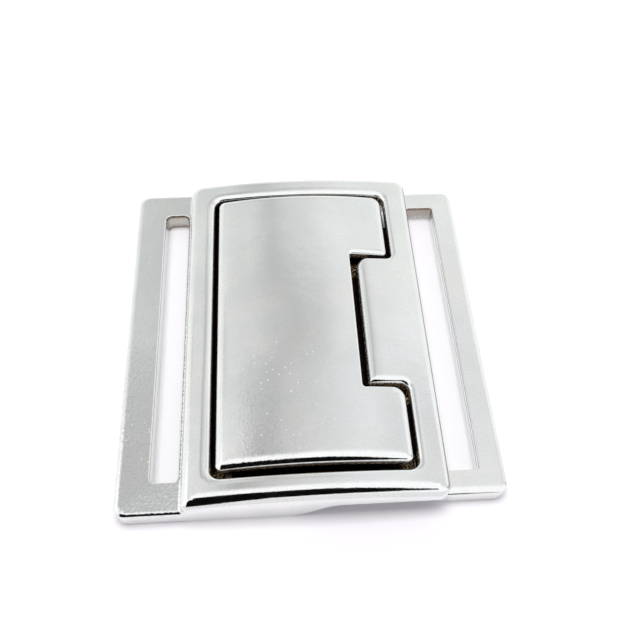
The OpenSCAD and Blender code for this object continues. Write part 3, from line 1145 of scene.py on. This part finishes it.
def add_surroundings(strength):
    """Pale room with a darker streak above the object, white overhead and in front, and lighter sides.

    Shiny surfaces see the room. Matt ones get an even fill, and the camera sees white.
    """
    world = bpy.data.worlds.new("surroundings")
    bpy.context.scene.world = world
    world.use_nodes = True
    graph = Graph(world.node_tree)
    x, y, z = graph.axes(graph.node("ShaderNodeTexCoord", output="Generated"))
    # Degrees round from the horizon behind the object, 90 overhead, 180 at the horizon in front
    turn = z.math("ARCTAN2", y) * (180.0 / math.pi)

    def patch(amount, x_in=None, x_out=None, turn_in=None, turn_out=None):
        """An amount that sets in and goes out over these stretches across the room and round the turn."""
        for value, stretch in ((x, x_in), (turn, turn_in)):
            if stretch:
                amount = value.smooth(*stretch) * amount
        for value, stretch in ((x, x_out), (turn, turn_out)):
            if stretch:
                amount = (1 - value.smooth(*stretch)) * amount
        return amount

    # The streak lies left of the middle. It swings right over one stretch, and drifts left higher up
    swing = patch(0.12, x_out=(0.08, 0.2), turn_in=(52.5, 56.5), turn_out=(58.5, 61.5))
    drift = patch(0.03, turn_in=(59.0, 61.0)) + patch(0.06, turn_in=(64.5, 66.5))
    across = x + 0.13 - swing + drift
    sideways = graph.ramp(across.line(-1.0, 1.0), [
        (0.0, 1.0), (0.12, 0.95), (0.24, 0.79), (0.34, 0.81), (0.40, 0.73), (0.45, 0.63), (0.50, 0.57),
        (0.54, 0.64), (0.58, 0.69), (0.64, 0.78), (0.74, 0.88), (0.86, 0.97), (1.0, 1.0),
    ])
    depth = patch(0.08, turn_out=(51.0, 56.0)) + patch(0.06, turn_in=(63.5, 66.0))
    streak = (1 - across.math("ABSOLUTE").smooth(0.0, 0.12)) * depth

    # Bands from the horizon upwards, which the sides of the room don't have
    bands = graph.ramp(turn / 100.0, [
        (0.0, 0.8), (0.25, 0.8), (0.33, 0.68), (0.40, 0.5), (0.44, 0.56), (0.49, 0.64), (0.54, 0.53),
        (0.58, 0.5), (1.0, 0.5),
    ]) - 0.5
    beside = patch(1.0, x_in=(0.12, 0.4)) + patch(1.0, x_out=(-0.7, -0.4))

    # What is lighter or darker at the left, and at the right
    near = (58.0, 66.0)
    late = (56.0, 62.0)
    left = (
        patch(0.16, x_out=(-0.62, -0.5))
        + patch(0.4, x_out=(-0.64, -0.46), turn_in=near)
        + patch(0.14, x_out=(-0.33, -0.24), turn_in=near)
        - patch(0.09, x_in=(-0.5, -0.45), x_out=(-0.42, -0.36), turn_in=(50.0, 54.0), turn_out=late)
        + patch(0.06, x_in=(-0.28, -0.22), x_out=(-0.15, -0.1), turn_out=(51.0, 55.0))
    )
    right = (
        patch(0.03, x_in=(0.12, 0.22), turn_out=late)
        + patch(0.045, x_in=(0.32, 0.42), turn_out=late)
        - patch(0.13, x_in=(0.3, 0.45), turn_in=late)
        - patch(0.6, x_in=(0.9, 0.97))
    )
    grey = sideways + bands * (1 - beside) + left + right - streak

    # The room turns white towards overhead, and is a little darker far in front
    start = 70.0 - patch(3.0, x_in=(-0.1, 0.1)) + patch(4.0, x_in=(0.3, 0.45))
    white = (turn - start).smooth(0.0, 19.0)
    overhead = 1.12 - patch(0.24, turn_in=(125.0, 150.0))
    level = grey * (1 - white) + overhead * white

    # The room is faintly green behind the object
    behind = patch(1.0, turn_out=(47.0, 58.0))
    gloss = graph.node("ShaderNodeCombineXYZ", inputs={
        0: level * (1 - behind * 0.04),
        1: level * (1.002 - behind * 0.018),
        2: level * (1.004 - behind * 0.045),
    })
    fill = graph.node("ShaderNodeCombineXYZ", inputs={0: 0.545, 1: 0.525, 2: 0.555})
    glossy = graph.node("ShaderNodeLightPath", output="Is Glossy Ray")
    camera = graph.node("ShaderNodeLightPath", output="Is Camera Ray")
    lit = graph.mix_colour(glossy, fill, gloss)
    seen = graph.mix_colour(camera, lit, opaque((1.0, 1.0, 1.0)))
    light = graph.node("ShaderNodeBackground", inputs={"Color": seen, "Strength": strength})
    graph.node("ShaderNodeOutputWorld", inputs={"Surface": light})


class BUCKLE_OT_stage(bpy.types.Operator):
    """Set the floor, the soft light and the camera"""

    bl_idname = "buckle.stage"
    bl_label = "Stage"

    def execute(self, context):
        looks = context.scene.buckle_stage
        add_camera()
        add_surroundings(looks.world_strength)
        reach = 1500.0
        corners = [(-reach, -reach, 0), (reach, -reach, 0), (reach, reach, 0), (-reach, reach, 0)]
        add_card("floor", corners, plain_material("floor_white", looks.floor, roughness=0.7))
        # The card slopes from its top edge towards the front: its corners are (x, share of the way down)
        top = Vector((0.0, -50.0, 121.6))
        slope = Vector((0.0, -54.7, -47.9))
        outline = [
            (-105, 0.0), (18, 0.0), (38, 0.16), (56, 0.36), (74, 0.48), (88, 0.53),
            (74, 0.58), (56, 0.68), (28, 0.86), (-19, 1.0), (-50, 1.42), (-105, 1.5),
        ]
        corners = [top + slope * share + Vector((x, 0.0, 0.0)) for x, share in outline]
        black = plain_material("card_black", (0.002,) * 3, roughness=0.9, gloss=0.0)
        card = add_card("dark_card", corners, black)
        card.visible_camera = False
        card.visible_diffuse = False
        card.visible_shadow = False
        lamp = bpy.data.lights.new("softbox", "AREA")
        lamp.shape = "RECTANGLE"
        lamp.size = 0.35
        lamp.size_y = 0.26
        lamp.energy = looks.softbox_power
        softbox = bpy.data.objects.new("softbox", lamp)
        softbox.location = (-0.03, 0.055, 0.6)
        softbox.visible_glossy = False
        context.scene.collection.objects.link(softbox)
        context.scene.view_settings.view_transform = "Standard"
        return {"FINISHED"}


class BUCKLE_PT_panel(bpy.types.Panel):
    """Lists the buckle's sizes, colours and steps"""

    bl_idname = "BUCKLE_PT_panel"
    bl_label = "Buckle"
    bl_space_type = "VIEW_3D"
    bl_region_type = "UI"
    bl_category = "Buckle"

    def draw(self, context):
        for name in GROUPS:
            group = getattr(context.scene, name)
            box = self.layout.box()
            for setting in group.__annotations__:
                box.prop(group, setting)
        for operator in OPERATORS:
            self.layout.operator(operator.bl_idname)


GROUPS = {
    "buckle_edges": EdgeSettings,
    "buckle_plating": PlatingSettings,
    "buckle_stage": StageSettings,
}
OPERATORS = (
    BUCKLE_OT_stage,
    BUCKLE_OT_frame,
    BUCKLE_OT_left_plate,
    BUCKLE_OT_tongue,
    BUCKLE_OT_press_plate,
    BUCKLE_OT_hinge_pin,
)


def register():
    """Make the settings, operators and panel known."""
    for name, group in GROUPS.items():
        bpy.utils.register_class(group)
        setattr(bpy.types.Scene, name, bpy.props.PointerProperty(type=group))
    for operator in OPERATORS:
        bpy.utils.register_class(operator)
    bpy.utils.register_class(BUCKLE_PT_panel)


def unregister():
    """Take them away again."""
    bpy.utils.unregister_class(BUCKLE_PT_panel)
    for operator in reversed(OPERATORS):
        bpy.utils.unregister_class(operator)
    for name, group in GROUPS.items():
        delattr(bpy.types.Scene, name)
        bpy.utils.unregister_class(group)


def main():
    """Build everything in order."""
    register()
    bpy.ops.buckle.stage()
    bpy.ops.buckle.frame()
    bpy.ops.buckle.left_plate()
    bpy.ops.buckle.tongue()
    bpy.ops.buckle.press_plate()
    bpy.ops.buckle.hinge_pin()


if __name__ == "__main__":
    main()
